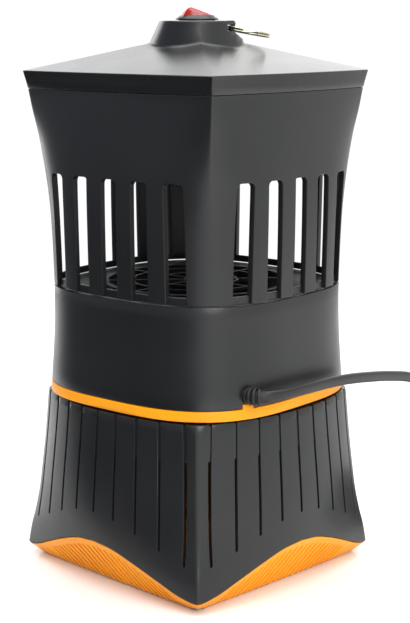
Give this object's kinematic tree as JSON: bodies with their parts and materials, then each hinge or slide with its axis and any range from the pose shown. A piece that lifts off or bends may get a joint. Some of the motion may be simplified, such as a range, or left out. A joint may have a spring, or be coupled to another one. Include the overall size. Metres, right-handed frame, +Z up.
{
  "type": "electric bug zapper",
  "caption": "Squarish waisted insect zapper tower: slotted lamp cage and suction fan over a twist-off slitted catch container, with a hanging ring, rocker switch and mains cord.",
  "frame": {"origin": "on the floor, under the tower's vertical axis", "axes": "+Z up; the tower's four faces look along X and Y; the cord leaves the +X face"},
  "size_m": [0.2077, 0.2997, 0.3093],
  "materials": {
    "black_plastic": "satin gloss moulding",
    "dark_plastic": "plain moulding",
    "orange_plastic": "satin gloss moulding",
    "red_plastic": "polished, slightly translucent",
    "nickel": "polished, faintly warm",
    "steel": "zinc plated",
    "copper": "bare metal",
    "circuit_board": "solder mask",
    "led_white": "clear lens over a pale body",
    "lamp_window": "frosted window",
    "rubber": "matt",
    "cord_rubber": "satin sheath"
  },
  "bodies": {
    "container": {"container_shell": "black_plastic", "base_tray": "orange_plastic", "rubber_foot_1": "rubber", "rubber_foot_2": "rubber", "rubber_foot_3": "rubber", "rubber_foot_4": "rubber", "base_screw_1": "steel", "base_screw_2": "steel", "base_screw_3": "steel", "base_screw_4": "steel"},
    "seal": {"seal_ring": "rubber"},
    "tower": {"top_cover": "black_plastic", "switch_body": "black_plastic", "switch_terminal_1": "copper", "switch_terminal_2": "copper", "lamp_plate": "dark_plastic", "lamp_board": "circuit_board", "lamp_cover": "lamp_window", "uv_led_1": "led_white", "uv_led_2": "led_white", "uv_led_3": "led_white", "uv_led_4": "led_white", "uv_led_5": "led_white", "uv_led_6": "led_white", "driver_board": "circuit_board", "driver_capacitor": "dark_plastic", "cover_screw_1": "steel", "cover_screw_2": "steel", "cover_screw_3": "steel", "cover_screw_4": "steel", "cage": "black_plastic", "fan_housing": "black_plastic", "inlet_deck": "dark_plastic", "inlet_guard": "dark_plastic", "fan_frame": "dark_plastic", "fan_motor": "copper", "fan_screw_1": "steel", "fan_screw_2": "steel", "fan_screw_3": "steel", "fan_screw_4": "steel", "trim_band": "orange_plastic", "bayonet_collar": "dark_plastic", "strain_relief": "rubber", "mains_cord": "cord_rubber", "cord_coil": "cord_rubber", "cord_tie": "dark_plastic", "plug_body": "cord_rubber", "plug_pin_1": "steel", "plug_pin_2": "steel"},
    "fan": {"fan_rotor": "dark_plastic", "fan_shaft": "steel"},
    "rocker": {"switch_rocker": "red_plastic"},
    "ring": {"hanging_ring": "nickel"}
  },
  "joints": [
    {"name": "lift_off", "type": "slide", "parent": "container", "child": "seal", "axis": [0, 0, 1], "range_m": [0, 0.07]},
    {"name": "bayonet_twist", "type": "hinge", "parent": "seal", "child": "tower", "pos_m": [0, 0, 0.0985], "axis": [0, 0, 1], "range_deg": [-4.6, 0]},
    {"name": "fan_spin", "type": "hinge", "parent": "tower", "child": "fan", "pos_m": [0, 0, 0.133], "axis": [0, 0, 1], "continuous": true},
    {"name": "switch_rock", "type": "hinge", "parent": "tower", "child": "rocker", "pos_m": [0, 0, 0.302], "axis": [0.7071, -0.7071, 0], "range_deg": [0, 20]},
    {"name": "ring_lift", "type": "hinge", "parent": "tower", "child": "ring", "pos_m": [0.01202, 0.01202, 0.298], "axis": [0.7071, -0.7071, 0], "range_deg": [0, 95]}
  ]
}
